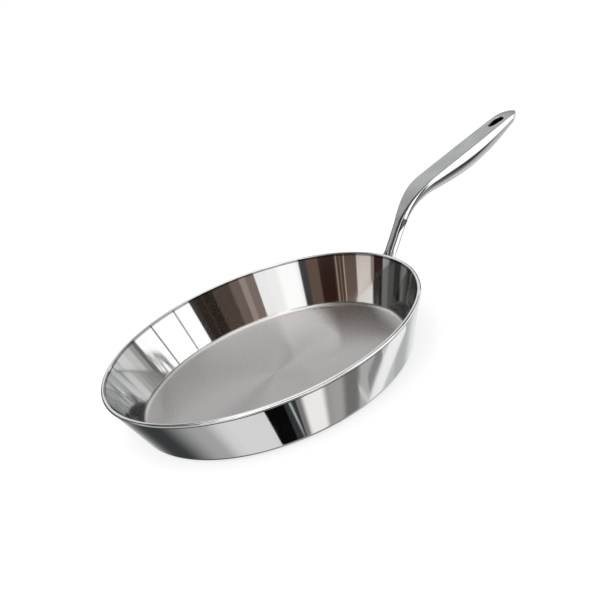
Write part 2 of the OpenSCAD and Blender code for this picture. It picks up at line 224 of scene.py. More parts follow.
# Each card: middle azimuth, half width, lowest and highest elevation, soft edge (all in degrees), colour
# and, where it leans, degrees of azimuth per degree of elevation. A later card covers an earlier one.
# There are 94 cards, and Cycles has no room for more in the world: with 96 the steel renders black.
cardValues = ("Middle", "Half Width", "Low", "High", "Soft", "Tone", "Slant")
studio = {
    "base": grey(0.4),
    "light": 1.0,
    # the ring of directions that the inside of the wall mirrors:
    # elevation = middle + swing * cos(azimuth + turn)
    "ring": {"middle": 12.0, "swing": 12.5, "turn": 115.0},
    "room": [
        # ground, the grey wall behind the pan, and what stands before and beside it
        (0, 181, -95, -34, 6, grey(0.34)),
        (76, 46, 10, 46, 9, grey(0.68, -0.02)),
        (36, 18, 2.5, 15, 2, grey(0.06, -0.1)),
        (103, 18, 1, 16, 3, grey(0.075, 0.15)),
        (150, 32, 18, 40, 4, grey(0.035)),
        (60, 42, -22, 2, 4, grey(0.05)),
        (-12, 34, -30, -4, 4, grey(0.85)),
        (-98, 68, -30, 22, 3, grey(1.25)),
        (-110, 46, 20, 52, 5, grey(1.25)),
        (-120, 60, -64, -24, 3, grey(0.035)),
        (116.2, 1.3, 14, 34, 1, grey(0.03)),
        # dark and pale things beside the belly of the grip
        (5, 38, -58, -37, 5, grey(0.5)),
        (-38, 7, -42, -34, 4, grey(0.05)),
        # ceiling: dull, bright overhead and in a field to the left, with a dark beam ahead
        (0, 181, 50, 95, 8, grey(0.62)),
        (0, 181, 70, 95, 5, grey(1.0)),
        (-170, 27, 50, 80, 6, grey(1.25)),
        (122, 36, 43, 55, 4, grey(0.16)),
        (136, 22, 43, 64, 5, grey(0.16, 0.2)),
    ],
    # elevations above the ring: what the wall mirrors after a second bounce
    "above": [
        (3, 12, 4, 26, 4, grey(0.46, -0.04)),
        (-18, 12, 4, 26, 4, grey(0.54, -0.04)),
        (-36, 10, 4, 26, 4, grey(0.52, -0.05)),
        (-54, 8, 4, 26, 4, grey(0.34, -0.08)),
        (-70, 8, 8, 26, 4, grey(0.1, -0.08)),
        (-10, 27, 12, 32, 3, grey(0.045, -0.1)),
        (-46, 6, 11.4, 28, 1, grey(0.18, -0.1)),
        (-43, 9, 3, 8.6, 1, grey(0.85)),
        (-57, 7, 6, 12.1, 1, grey(0.85)),
        (-69, 5, 8, 13.8, 1, grey(0.6)),
        (-79, 4, 10, 22, 3, grey(0.45)),
        (-92, 10, 14, 22, 3, grey(0.3)),
        (-109, 6, 15, 22, 3, grey(0.17, 0.1)),
        (-131, 13, 13, 24, 3, grey(0.95, 0.08)),
        (-157, 9, 7, 24, 2, dimRedWood),
        (-173, 6, 4, 16, 2, grey(0.21)),
        (173, 6, 3, 14, 5, grey(0.11)),
        (159, 7, 3, 12, 3, grey(0.035)),
        (144, 6, 3, 12, 3, grey(0.18)),
    ],
    # elevations about the ring: what the wall mirrors at once
    "along": [
        # dark wood behind everything
        (-98, 34, -9, 8.5, 1, grey(0.08, 0.35)),
        (157, 48, -9, 2, 1, grey(0.04, 0.4)),
        # right of the second window: a curtain, then dark wood with three gleams
        (-162.8, 3.8, -4.5, 4.5, 0.6, grey(0.05)),
        (-171.3, 5.2, -4.5, 4.5, 1.2, grey(0.085, 0.5)),
        (177, 7, -4.5, 2.4, 1.6, redWood),
        (166.5, 4.6, -4.5, 2.4, 1.2, grey(0.05, 0.6)),
        (170, 0.3, -4.5, 2.4, 0.4, grey(0.3, 0.3)),
        (166.7, 0.25, -4.5, 2.4, 0.4, grey(0.16, 0.6)),
        (163.4, 0.3, -4.5, 2.4, 0.4, grey(0.4, 0.3)),
        (157, 5, -4.5, 1.6, 1, grey(0.105, 0.4)),
        (145.2, 6.6, -4.5, 1.6, 0.7, grey(0.66, 0.12)),
        (136.7, 1.4, -4.5, 1.6, 1.4, grey(0.25, 0.2)),
        (130.8, 4.4, -4.5, 1.6, 0.7, darkRedWood),
        (122.4, 3.4, -4.5, 1.6, 0.8, grey(0.55)),
        (108, 8, -4.5, 4.5, 5, grey(0.045)),
        (99.2, 1.6, -0.5, 4.5, 1.6, grey(0.22)),
        (89, 5, -4.5, 4.5, 3, grey(0.03)),
        # the second window, dimmer on its left
        (-141.2, 18, -4.5, 4.5, 0.5, grey(1.02)),
        (-150, 5, -4.5, 4.5, 6, grey(1.2)),
        # between the windows: a dark frame, then brown wood that grows lighter
        (-119.4, 3.8, -4.5, 4.5, 0.6, grey(0.165, 0.28)),
        (-113.6, 1.6, -4.5, 4.5, 2, grey(0.27, 0.2)),
        (-106.5, 2.5, -4.5, 4.5, 3, grey(0.12, 0.32)),
        (-95, 6.4, -4.5, 4.5, 3, grey(0.053, 0.42)),
        (-84.6, 3.4, -4.5, 4.5, 1.6, grey(0.015, 0.6)),
        (-76.6, 3, -4.5, 4.5, 1.2, grey(0.018, 0.4)),
        (-71.6, 1.9, -4.5, 4.5, 0.5, grey(0.038, 0.12)),
        # the first window with its thin bars
        (-43, 26.6, -4.5, 4.5, 0.4, grey(1.3), 0.3),
        (-56.2, 0.35, -4.5, 4.5, 0.5, grey(0.25), 0.3),
        (-34.6, 0.4, -4.5, 4.5, 0.5, grey(0.16), 0.3),
        (-22.8, 0.55, -4.5, 0.4, 0.5, grey(0.06), 0.6),
        (-19.6, 0.35, -4.5, -0.1, 0.4, grey(0.14), 0.6),
        # left of it: a dark edge, then grey panels
        (-13.8, 2.4, -4.5, 4.5, 0.7, grey(0.15, 0.08), 0.6),
        (-8.6, 2.4, -4.5, 4.5, 1.2, grey(0.36)),
        (-2.4, 3.6, -4.5, 4.5, 2.4, grey(0.62, 0.01)),
        (8.4, 7.4, -4.5, 4.5, 1.6, grey(0.73, 0.01)),
        (13.2, 3.6, 0.4, 7, 0.8, grey(0.25)),
        (20.8, 2.6, -1.2, 8, 0.8, grey(1.3)),
    ],
    # the low ring that the outside of the wall mirrors
    "low": [
        # left of the dark panel: grey ground that brightens towards it, round a dark patch
        (140, 70, -84, -10, 8, grey(0.42)),
        (74, 12, -62, -12, 14, grey(0.6, -0.03)),
        (186, 18, -84, -50, 16, grey(0.74)),
        (114.5, 4.5, -95, -12, 30, grey(0.05, -0.1)),
        (-166, 19, -84, -60, 6, grey(0.78)),
        # the dark panel with its ragged right edge
        (-130.8, 13.9, -76.4, -55, 0.3, grey(0.003)),
        (-107, 10, -76.4, -55, 1, grey(0.04, -0.1)),
        (-111.4, 0.5, -73.9, -70, 2, grey(0.5, -0.05), -2.3),
        (-96, 3.4, -76.4, -55, 2.4, grey(0.21)),
        # pale, grey, and the slanted pale strip towards the handle with a dark patch beside it
        (-77, 10, -77, -52, 9, grey(0.98, 0.03)),
        (-46, 3, -76, -50, 14, grey(0.4, 0.03)),
        (-32, 4, -76, -46, 8, grey(0.18, 0.06)),
        (-15, 6, -70, -40, 3, grey(0.46)),
        (8, 16, -60, -36, 6, grey(0.6, -0.02)),
        (-7.6, 1.9, -58.2, -52.4, 0.7, grey(0.24), 1.73),
        (26, 9, -52, -22, 4, grey(0.5, -0.03)),
        (5.6, 2.1, -60, -40, 0.5, grey(1.0), 1.73),
        (-18, 0.8, -61.6, -59.6, 0.5, grey(0.8), 5),
        (56, 14, -42, -10, 16, grey(0.84, -0.02)),
        (0, 181, -95, -78, 2, grey(0.3)),
    ],
}


def studioCard():
    # colour = mix(under, tone) where the slanted azimuth and the elevation lie within the card's edges
    numbers = ("Azimuth", "Elevation", "Middle", "Half Width", "Low", "High", "Soft", "Slant")
    inputs = {"Under": "Color", "Tone": "Color", **dict.fromkeys(numbers, "Float")}
    tree, given, result = newGroup("studioCard", inputs, {"Color": "Color"})
    elevation, low, high, soft = (given[n] for n in ("Elevation", "Low", "High", "Soft"))
    half = mathNode(tree, "MULTIPLY", mathNode(tree, "ADD", low, high), 0.5)
    lifted = mathNode(tree, "SUBTRACT", elevation, half)
    middle = mathNode(tree, "MULTIPLY_ADD", lifted, given["Slant"], given["Middle"])
    away = mathNode(tree, "WRAP", mathNode(tree, "SUBTRACT", given["Azimuth"], middle), 180.0, -180.0)
    away = mathNode(tree, "ABSOLUTE", away)
    widest = mathNode(tree, "ADD", given["Half Width"], soft)
    sideways = rangeNode(tree, away, widest, given["Half Width"])
    fromBelow = rangeNode(tree, elevation, mathNode(tree, "SUBTRACT", low, soft), low)
    fromAbove = rangeNode(tree, elevation, mathNode(tree, "ADD", high, soft), high)
    share = mathNode(tree, "MULTIPLY", sideways, mathNode(tree, "MULTIPLY", fromBelow, fromAbove))
    tree.links.new(mixColor(tree, share, given["Under"], given["Tone"]), result["Color"])
    return tree


def buildStudio():
    world = bpy.data.worlds.new("studio")
    bpy.context.scene.world = world
    world.use_nodes = True
    world.cycles.sampling_method = "NONE"
    tree = world.node_tree
    tree.nodes.clear()
    heading = splitParts(tree, addNode(tree, "ShaderNodeTexCoord").outputs["Generated"])
    degrees = 180 / math.pi
    around = mathNode(tree, "ARCTAN2", heading[1], heading[0])
    azimuth = mathNode(tree, "MULTIPLY", around, degrees)
    elevation = mathNode(tree, "MULTIPLY", mathNode(tree, "ARCSINE", heading[2]), degrees)
    ring = studio["ring"]
    turned = mathNode(tree, "COSINE", mathNode(tree, "ADD", around, math.radians(ring["turn"])))
    ringLine = mathNode(tree, "MULTIPLY_ADD", turned, ring["swing"], ring["middle"])
    height = mathNode(tree, "SUBTRACT", elevation, ringLine)
    card = studioCard()
    colour = studio["base"]
    for part, level in (("room", elevation), ("above", height), ("along", height), ("low", elevation)):
        for values in studio[part]:
            colour = groupNode(tree, card, Azimuth=azimuth, Elevation=level, Under=colour,
                               **dict(zip(cardValues, values)))[0]
    glossy = addNode(tree, "ShaderNodeLightPath").outputs["Is Glossy Ray"]
    seen = mixColor(tree, glossy, grey(studio["light"]), colour)
    background = nodeFrom(tree, "ShaderNodeBackground", {"Color": seen})
    tree.links.new(background, addNode(tree, "ShaderNodeOutputWorld").inputs[0])


def buildFloor():
    # a pale floor: half lit by the studio, half plain white to the camera, so that it keeps a soft shadow
    floor = {"size": 40.0, "drop": 0.0003, "paint": 0.42, "glow": 0.64}
    half = floor["size"] / 2
    mesh = bpy.data.meshes.new("floor")
    corners = [(-half, -half), (half, -half), (half, half), (-half, half)]
    mesh.from_pydata([(x, y, -floor["drop"]) for x, y in corners], [], [(0, 1, 2, 3)])
    plane = linkedObject("floor", mesh)
    plane.visible_glossy = False
    material = bpy.data.materials.new("paleFloor")
    material.use_nodes = True
    tree = material.node_tree
    tree.nodes.clear()
    paint = nodeFrom(tree, "ShaderNodeBsdfDiffuse", {"Color": grey(floor["paint"])})
    toCamera = addNode(tree, "ShaderNodeLightPath").outputs["Is Camera Ray"]
    strength = mathNode(tree, "MULTIPLY", toCamera, floor["glow"])
    glow = nodeFrom(tree, "ShaderNodeEmission", {"Color": grey(1.0), "Strength": strength})
    both = nodeFrom(tree, "ShaderNodeAddShader", {0: paint, 1: glow})
    fromBelow = addNode(tree, "ShaderNodeNewGeometry").outputs["Backfacing"]
    clear = addNode(tree, "ShaderNodeBsdfTransparent").outputs[0]
    surface = nodeFrom(tree, "ShaderNodeMixShader", {0: fromBelow, 1: both, 2: clear})
    tree.links.new(surface, addNode(tree, "ShaderNodeOutputMaterial").inputs[0])
    mesh.materials.append(material)


def buildLamp():
    lamp = {"place": (-0.5, -0.3, 1.4), "tilt": (10, -20, 0), "size": 1.2, "power": 6.0}
    light = bpy.data.lights.new("softLamp", "AREA")
    light.shape = "DISK"
    light.size = lamp["size"]
    light.energy = lamp["power"]
    holder = linkedObject("softLamp", light)
    holder.location = lamp["place"]
    holder.rotation_euler = [math.radians(a) for a in lamp["tilt"]]
    holder.visible_glossy = False


def buildCamera():
    # set up from the ellipses of the rim and the base
    view = {
        "place": (-0.229185, -0.565414, 0.295723),
        "right": (0.79448941, -0.51813596, -0.31673601),
        "up": (0.45942266, 0.17174035, 0.87145629),
        "lens": 55.2176, "sensor": 36.0,
    }
    right, up = np.array(view["right"]), np.array(view["up"])
    back = np.cross(right, up)
    matrix = np.eye(4)
    matrix[:3, 0], matrix[:3, 1], matrix[:3, 2], matrix[:3, 3] = right, up, back, view["place"]
    lens = bpy.data.cameras.new("camera")
    lens.lens = view["lens"]
    lens.sensor_width = view["sensor"]
    camera = linkedObject("camera", lens)
    camera.matrix_world = Matrix(matrix.tolist())
    bpy.context.scene.camera = camera


bpy.context.scene.view_settings.view_transform = "Standard"
# the corners of the wall mirror one another more than four times
bpy.context.scene.cycles.glossy_bounces = 8
buildStudio()
buildFloor()
buildLamp()
buildCamera()
print("studio, floor, lamp and camera ready")


# Steels

def hairlineGroup():
    # fine marks: a noise drawn out along one axis of the given vector, as a mask and a height
    inputs = {"Vector": "Vector", "Scale": "Float", "Stretch": "Vector"}
    tree, given, result = newGroup("hairlines", inputs, {"Mask": "Float", "Height": "Float"})
    stretched = {0: given["Vector"], 1: given["Stretch"]}
    drawn = nodeFrom(tree, "ShaderNodeVectorMath", stretched, operation="MULTIPLY")
    height = noiseNode(tree, drawn, given["Scale"], 3.0)
    tree.links.new(height, result["Height"])
    tree.links.new(rangeNode(tree, height, 0.35, 0.65), result["Mask"])
    return tree


def ringGroup():
    # turns Object coordinates into (radius, angle, height), so that a pattern runs in circles
    outputs = {"Vector": "Vector", "Radius": "Float"}
    tree, given, result = newGroup("turnedRings", {"Vector": "Vector"}, outputs)
    x, y, z = splitParts(tree, given["Vector"])
    flat = nodeFrom(tree, "ShaderNodeCombineXYZ", {0: x, 1: y})
    radius = nodeFrom(tree, "ShaderNodeVectorMath", {0: flat}, "Value", operation="LENGTH")
    turned = nodeFrom(tree, "ShaderNodeCombineXYZ", {0: radius, 1: mathNode(tree, "ARCTAN2", y, x), 2: z})
    tree.links.new(turned, result["Vector"])
    tree.links.new(radius, result["Radius"])
    return tree


hairlines = hairlineGroup()
turnedRings = ringGroup()


def steelMaterial(name, colour, roughness, grain=0.0):
    # grain above 0: polished in circles, so reflections blur across the circles more than along them
    material = bpy.data.materials.new(name)
    material.use_nodes = True
    tree = material.node_tree
    shader = tree.nodes["Principled BSDF"]
    joinSockets(tree, shader, {"Base Color": colour, "Metallic": 1.0, "Roughness": roughness})
    if grain:
        # a quarter turn from the direction that runs round Z
        around = addNode(tree, "ShaderNodeTangent", direction_type="RADIAL", axis="Z").outputs[0]
        joinSockets(tree, shader, {"Anisotropic": grain, "Anisotropic Rotation": 0.25, "Tangent": around})
    return material, tree, shader


def grainFrom(tree, place, finish):
    # hairlines drawn out as the finish says, and a roughness that swings with them
    height = groupNode(tree, hairlines, Vector=place, Scale=1.0, Stretch=finish["stretch"])["Height"]
    return height, rangeNode(tree, height, 0.2, 0.8, finish["smoothest"], finish["roughest"], "LINEAR")


def bumpFrom(tree, shader, height, finish):
    sources = {"Strength": finish["bump"], "Distance": finish["bumpDepth"], "Height": height}
    tree.links.new(nodeFrom(tree, "ShaderNodeBump", sources), shader.inputs["Normal"])


def skinSteel():
    # mirror-polished: faint cloudy smears and hairlines in the roughness, and painted shade in the crease
    # under the bead
    finish = {"steel": (0.81, 0.812, 0.805, 1), "rough": 0.035, "smear": 0.01, "grain": 0.7,
              "cloudScale": 35.0, "lineScale": 900.0, "stretch": (1.0, 1.0, 0.15), "creaseShadeStart": 0.0375,
              "creaseShadeSoft": 0.0002, "creaseShade": grey(0.14)}
    material, tree, shader = steelMaterial("skinSteel", finish["steel"], finish["rough"], finish["grain"])
    place = objectPlace(tree)
    scale, stretch = finish["lineScale"], finish["stretch"]
    lines = groupNode(tree, hairlines, Vector=place, Scale=scale, Stretch=stretch)["Mask"]
    clouds = noiseNode(tree, place, finish["cloudScale"])
    cloudy = rangeNode(tree, clouds, 0.4, 0.7, 0.0, finish["smear"])
    lined = mathNode(tree, "MULTIPLY", lines, finish["smear"] / 2)
    marked = mathNode(tree, "ADD", cloudy, lined)
    tree.links.new(mathNode(tree, "ADD", marked, finish["rough"]), shader.inputs["Roughness"])
    # painted shade: a thin dark band at the top of the skin, just under the bead, where the crease lies in
    # shade
    creaseShadeEnd = finish["creaseShadeStart"] + finish["creaseShadeSoft"]
    near = rangeNode(tree, splitParts(tree, place)[2], finish["creaseShadeStart"], creaseShadeEnd)
    tree.links.new(mixColor(tree, near, finish["steel"], finish["creaseShade"]), shader.inputs["Base Color"])
    return material


def liningSteel():
    # satin floor with a circular grain and a painted highlight in the corner; polished wall, and a bead with
    # a painted highlight behind a thin line of painted shade
    # the corner and bead colours are painted highlights; the dark line colour is painted shade
    finish = {"satinEnd": 0.1018, "wallStart": 0.1028, "cornerHighlightStart": 0.0985, "lineStart": 0.11675,
              "beadHighlightStart": 0.1171, "soft": 0.0002, "smoothest": 0.22, "roughest": 0.32, "wallRough": 0.07,
              "grain": 0.92, "stretch": (9000.0, 6.0, 0.0), "floor": (0.62, 0.59, 0.58, 1),
              "corner": (0.95, 0.935, 0.915, 1), "wall": (0.81, 0.812, 0.805, 1), "line": (0.3, 0.3, 0.3, 1),
              "bead": (0.98, 0.98, 0.975, 1)}
    wall, wallRough = finish["wall"], finish["wallRough"]
    material, tree, shader = steelMaterial("liningSteel", wall, wallRough, finish["grain"])
    rings = groupNode(tree, turnedRings, Vector=objectPlace(tree))
    radius = rings["Radius"]
    onWall = rangeNode(tree, radius, finish["satinEnd"], finish["wallStart"])
    # painted highlight: a bright ring of colour on the floor's corner
    onCornerHighlight = rangeNode(tree, radius, finish["cornerHighlightStart"], finish["satinEnd"])
    # painted shade: a thin dark line just inside the bead, where it meets the wall
    onBeadShadeLine = rangeNode(tree, radius, finish["lineStart"] - finish["soft"], finish["lineStart"])
    # painted highlight: the bead is given a near-white colour
    onBeadHighlight = rangeNode(tree, radius, finish["beadHighlightStart"], finish["beadHighlightStart"] + finish["soft"])
    floorRough = grainFrom(tree, rings["Vector"], finish)[1]
    tree.links.new(mixValue(tree, onWall, floorRough, wallRough), shader.inputs["Roughness"])
    colour = mixColor(tree, onCornerHighlight, finish["floor"], finish["corner"])
    colour = mixColor(tree, onWall, colour, wall)
    colour = mixColor(tree, onBeadShadeLine, colour, finish["line"])
    tree.links.new(mixColor(tree, onBeadHighlight, colour, finish["bead"]), shader.inputs["Base Color"])
    return material


def edgedSteel(name):
    # brushed along the flat top; outside it polished, behind a dark line of painted reflection along the
    # flat's edge, with a dark patch of painted reflection where the neck meets the grip; lengths run along
    # the grip from the middle of the bend
    finish = {"flat": (0.57, 0.58, 0.585, 1), "light": (0.64, 0.65, 0.655, 1), "neck": (0.95, 0.95, 0.95, 1),
              "side": (0.84, 0.83, 0.815, 1), "line": (0.1, 0.1, 0.1, 1), "lineBend": 0.0028,
              "lineGrip": 0.0006, "lineCore": 0.7, "bendStart": -0.02, "bendEnd": 0.026, "edgeSoft": 0.00005,
              "neckEnd": -0.034, "gripStart": -0.008, "smoothest": 0.26, "roughest": 0.38, "sideRough": 0.06,
              "cloudScale": 55.0, "stretch": (120.0, 6000.0, 600.0), "bump": 0.04, "bumpDepth": 0.00001,
              "darkPatchStart": -0.0195, "darkPatchLength": 0.0135, "darkPatchTop": 0.0034, "darkPatchLow": 0.0088,
              "darkPatchSoft": 0.0006}
    material, tree, shader = steelMaterial(name, finish["flat"], finish["smoothest"])
    marks = splitParts(tree, addNode(tree, "ShaderNodeUVMap", uv_map="marks").outputs[0])
    along, offFlat = marks[0], marks[1]
    # painted reflection: a dark line along the flat's edge, wider on the bend than on the grip
    ends = finish["bendStart"], finish["bendEnd"]
    width = rangeNode(tree, along, *ends, finish["lineBend"], finish["lineGrip"])
    offEdge = rangeNode(tree, offFlat, -finish["edgeSoft"], finish["edgeSoft"])
    offDarkLine = rangeNode(tree, offFlat, mathNode(tree, "MULTIPLY", width, finish["lineCore"]), width)
    place = objectPlace(tree)
    height, brushed = grainFrom(tree, place, finish)
    tree.links.new(mixValue(tree, offEdge, brushed, finish["sideRough"]), shader.inputs["Roughness"])
    # painted reflection: a dark patch beside the flat where the neck meets the grip, on both sides
    past = mathNode(tree, "SUBTRACT", finish["darkPatchStart"], along)
    lowest = rangeNode(tree, past, 0.0, finish["darkPatchLength"], finish["darkPatchLow"], finish["darkPatchTop"], "LINEAR")
    below = rangeNode(tree, offFlat, finish["darkPatchTop"] - finish["darkPatchSoft"], finish["darkPatchTop"])
    above = rangeNode(tree, offFlat, mathNode(tree, "ADD", lowest, finish["darkPatchSoft"]), lowest)
    marked = mathNode(tree, "MULTIPLY", mathNode(tree, "MULTIPLY", below, above),
                      rangeNode(tree, past, -finish["darkPatchSoft"], finish["darkPatchSoft"]))
    edge = mixColor(tree, offDarkLine, finish["line"], finish["side"])
    edge = mixColor(tree, marked, edge, finish["line"])
    clouds = noiseNode(tree, place, finish["cloudScale"])
    flat = mixColor(tree, rangeNode(tree, clouds, 0.35, 0.65), finish["flat"], finish["light"])
    onGrip = rangeNode(tree, along, finish["neckEnd"], finish["gripStart"])
    flat = mixColor(tree, onGrip, finish["neck"], flat)
    tree.links.new(mixColor(tree, offEdge, flat, edge), shader.inputs["Base Color"])
    bumpFrom(tree, shader, height, finish)
    return material


def throatSteel():
    # the eyelet: satin on top, then a thin polished lip round a throat in painted shade, told apart by the
    # height
    finish = {"flat": (0.57, 0.58, 0.585, 1), "lip": (0.84, 0.83, 0.815, 1), "throatShade": (0.05, 0.05, 0.052, 1),
              "slope": 9.2, "top": (0.25678, 0.0932), "flatEnd": 0.00022, "lipEnd": 0.00045, "soft": 0.00012,
              "rough": 0.3}
    material, tree, shader = steelMaterial("eyeletSteel", finish["lip"], finish["rough"])
    parts = splitParts(tree, objectPlace(tree))
    slope = math.radians(finish["slope"])
    across = mathNode(tree, "SUBTRACT", parts[0], finish["top"][0])
    up = mathNode(tree, "SUBTRACT", parts[2], finish["top"][1])
    above = mathNode(tree, "ADD", mathNode(tree, "MULTIPLY", across, -math.sin(slope)),
                     mathNode(tree, "MULTIPLY", up, math.cos(slope)))
    offFlat = rangeNode(tree, above, -finish["flatEnd"], -finish["flatEnd"] - finish["soft"])
    # painted shade: from just below the lip, the throat is nearly black
    inside = rangeNode(tree, above, -finish["lipEnd"], -finish["lipEnd"] - finish["soft"])
    edge = mixColor(tree, offFlat, finish["flat"], finish["lip"])
    tree.links.new(mixColor(tree, inside, edge, finish["throatShade"]), shader.inputs["Base Color"])
    return material


def weldSteel():
    # buffed weld metal with faint ripples
    finish = {"steel": (0.72, 0.7, 0.68, 1), "rough": 0.28, "rippleScale": 900.0, "bump": 0.4,
              "bumpDepth": 0.0001}
    material, tree, shader = steelMaterial("weldSteel", finish["steel"], finish["rough"])
    bumpFrom(tree, shader, noiseNode(tree, objectPlace(tree), finish["rippleScale"]), finish)
    return material


def coreAluminium():
    # plain rolled aluminium, turned in circles
    finish = {"metal": (0.8, 0.8, 0.81, 1), "smoothest": 0.3, "roughest": 0.5, "stretch": (5000.0, 4.0, 0.0)}
    material, tree, shader = steelMaterial("coreAluminium", finish["metal"], finish["smoothest"])
    rings = groupNode(tree, turnedRings, Vector=objectPlace(tree))
    tree.links.new(grainFrom(tree, rings["Vector"], finish)[1], shader.inputs["Roughness"])
    return material


liningPaint = liningSteel()
skinPaint = skinSteel()
handlePaint = edgedSteel("polishedHandleSteel")
satinPaint = edgedSteel("satinHandleSteel")
eyeletPaint = throatSteel()
weldPaint = weldSteel()
print("materials ready")


# The clad body: lining with its rolled bead, aluminium core and outer skin

pan = {
    "rimDiameter": 0.240, "height": 0.041, "lean": 22.6, "cornerRadius": 0.006,
    "lining": 0.0004, "core": 0.0016, "skin": 0.0005,
    "beadLip": 0.0004,  # how far the bead stands out past the wall's outer face
    "rimSeal": 0.0009,  # how far below the bead's middle core and skin end
    "segments": 384, "cornerSteps": 28, "beadSteps": 44,
    # where the profile's points lie along its two straight lines
    "floorShares": (0, 0.02, 0.2, 0.4, 0.6, 0.8, 0.95, 0.99, 0.997),
    "wallShares": (0.01, 0.04, 0.15, 0.35, 0.55, 0.75, 0.9, 0.97, 0.99, 1),
}
wallThick = pan["lining"] + pan["core"] + pan["skin"]
beadRadius = (wallThick + pan["beadLip"]) / 2
beadMiddle = np.array([pan["rimDiameter"] / 2 - beadRadius, pan["height"] - beadRadius])
leanAngle = math.radians(pan["lean"])
wallOut = np.array([math.cos(leanAngle), -math.sin(leanAngle)])
wallUp = np.array([math.sin(leanAngle), math.cos(leanAngle)])
wallFoot = beadMiddle[0] + (beadRadius - pan["beadLip"]) / math.cos(leanAngle)
cornerMiddle = np.array([
    wallFoot - beadMiddle[1] * math.tan(leanAngle)
    - pan["cornerRadius"] * (1 - math.sin(leanAngle)) / math.cos(leanAngle),
    pan["cornerRadius"],
])


def wallPlace(depth, rise):
    # a point in the wall's half section: depth in from the outer face, rise above the bead's middle
    return beadMiddle + (beadRadius - pan["beadLip"] - depth) * wallOut + rise * wallUp


def wallOutline(depth, rise):
    # half section of the face at this depth: flat floor, round corner, straight wall
    corner = arcPoints(cornerMiddle, cornerMiddle[1] - depth, -90, -pan["lean"], pan["cornerSteps"])
    floor = linePoints((0, depth), corner[0], pan["floorShares"])
    wall = linePoints(corner[-1], wallPlace(depth, rise), pan["wallShares"])
    return np.concatenate([floor, corner, wall])


def buildBody():
    inner = wallOutline(wallThick, 0)
    turn = math.degrees(math.asin(pan["rimSeal"] / beadRadius))
    bead = arcPoints(beadMiddle, beadRadius, 180 - pan["lean"], -turn - pan["lean"], pan["beadSteps"])
    liningBack = wallOutline(wallThick - pan["lining"], -pan["rimSeal"])[::-1]
    lining = revolved("innerLiner", np.concatenate([inner[:-1], bead, liningBack]), pan["segments"])
    placedPiece(lining, liningPaint, "lining_steel", "inner_liner")
    outer = wallOutline(0, -pan["rimSeal"])
    skinBack = wallOutline(pan["skin"], -pan["rimSeal"])[::-1]
    skin = revolved("outerSkin", np.concatenate([outer, skinBack]), pan["segments"])
    placedPiece(skin, skinPaint, "skin_steel", "outer_skin")
    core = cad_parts["aluminium_core"]
    core.data.materials.clear()
    core.data.materials.append(coreAluminium())


buildBody()
print("clad body ready")


# The handle's top line and section, shared by its plate, belly, eyelet, neck and prongs

handle = {
    # the top line: neck, bend, grip and bowed tip
    "reach": 0.0355, "rise": 0.0358, "neckSlope": 47.0, "gripSlope": 9.2, "bendRadius": 0.064,
    "gripLength": 0.1235, "droopLength": 0.016, "droopRadius": 0.070, "endLength": 0.010,
    # the section on the grip, at its tip and on the neck
    "gripWidth": 0.020, "gripDepth": 0.017, "tipWidth": 0.0168, "tipDepth": 0.007,
    "neckWidth": 0.0106, "neckDepth": 0.0074, "neckFlat": 0.004,
    "edgeRadius": 0.0003, "shoulder": 0.0006, "neckPower": 2.0, "gripPower": 2.3, "endPower": 0.9,
    # where it changes along the line, from the middle of the bend
    "widenBack": 0.028, "fullAt": 0.020, "bellyAt": 0.062, "taperAt": 0.066,
    "depthLag": 0.004, "shoulderLag": 0.006, "edgeLead": 0.008,
    # the sheets, the neck's tang between them and the gap round it
    "plate": 0.0012, "belly": 0.001, "jointBack": 0.018, "tang": 0.030, "tangGap": 0.0002,
    "gripRings": 200, "endRings": 48, "endTurn": 89.3, "plateSteps": 14, "outerSteps": 40,
    "innerSteps": 24,
    "least": 2e-5,  # half width and depth never shrink below this, at the very tip
    # where the plate's points lie across its flat top and its underside
    "flatShares": (0.985, 0.95, 0.8, 0.5, 0.2, -0.2, -0.5, -0.8, -0.95, -0.985),
    "baseShares": (-0.95, -0.6, -0.2, 0.2, 0.6, 0.95),
}
neckSlope = math.radians(handle["neckSlope"])
gripSlope = math.radians(handle["gripSlope"])
bendArc = handle["bendRadius"] * (neckSlope - gripSlope)
bendTangent = handle["bendRadius"] * math.tan((neckSlope - gripSlope) / 2)
tipPlace = handle["gripLength"] - bendTangent + bendArc / 2
droopPlace = tipPlace - handle["droopLength"]
jointPlace = -handle["jointBack"]


def alongLine(angle):
    return np.stack([np.cos(angle), np.sin(angle)], -1)


def acrossLine(angle):
    return np.stack([-np.sin(angle), np.cos(angle)], -1)


bendCorner = np.array([pan["rimDiameter"] / 2 + handle["reach"], pan["height"] + handle["rise"]])
bendStart = bendCorner - bendTangent * alongLine(neckSlope)
bendEnd = bendCorner + bendTangent * alongLine(gripSlope)
bendMiddle = bendStart - handle["bendRadius"] * acrossLine(neckSlope)
droopStart = bendEnd + (droopPlace - bendArc / 2) * alongLine(gripSlope)
droopMiddle = droopStart - handle["droopRadius"] * acrossLine(gripSlope)


def slopeAt(s):
    # straight neck, round bend, straight grip, bowed tip
    bend = neckSlope - (s + bendArc / 2) / handle["bendRadius"]
    droop = gripSlope - (s - droopPlace) / handle["droopRadius"]
    return np.select([s < -bendArc / 2, s < bendArc / 2, s < droopPlace], [neckSlope, bend, gripSlope], droop)


def topLine(s):
    angle = slopeAt(s)
    neck = bendStart + (s + bendArc / 2)[..., None] * alongLine(neckSlope)
    bend = bendMiddle + handle["bendRadius"] * acrossLine(angle)
    grip = bendEnd + (s - bendArc / 2)[..., None] * alongLine(gripSlope)
    droop = droopMiddle + handle["droopRadius"] * acrossLine(angle)
    near = (s < bendArc / 2)[..., None]
    return np.where(near, np.where((s < -bendArc / 2)[..., None], neck, bend),
                    np.where((s < droopPlace)[..., None], grip, droop))


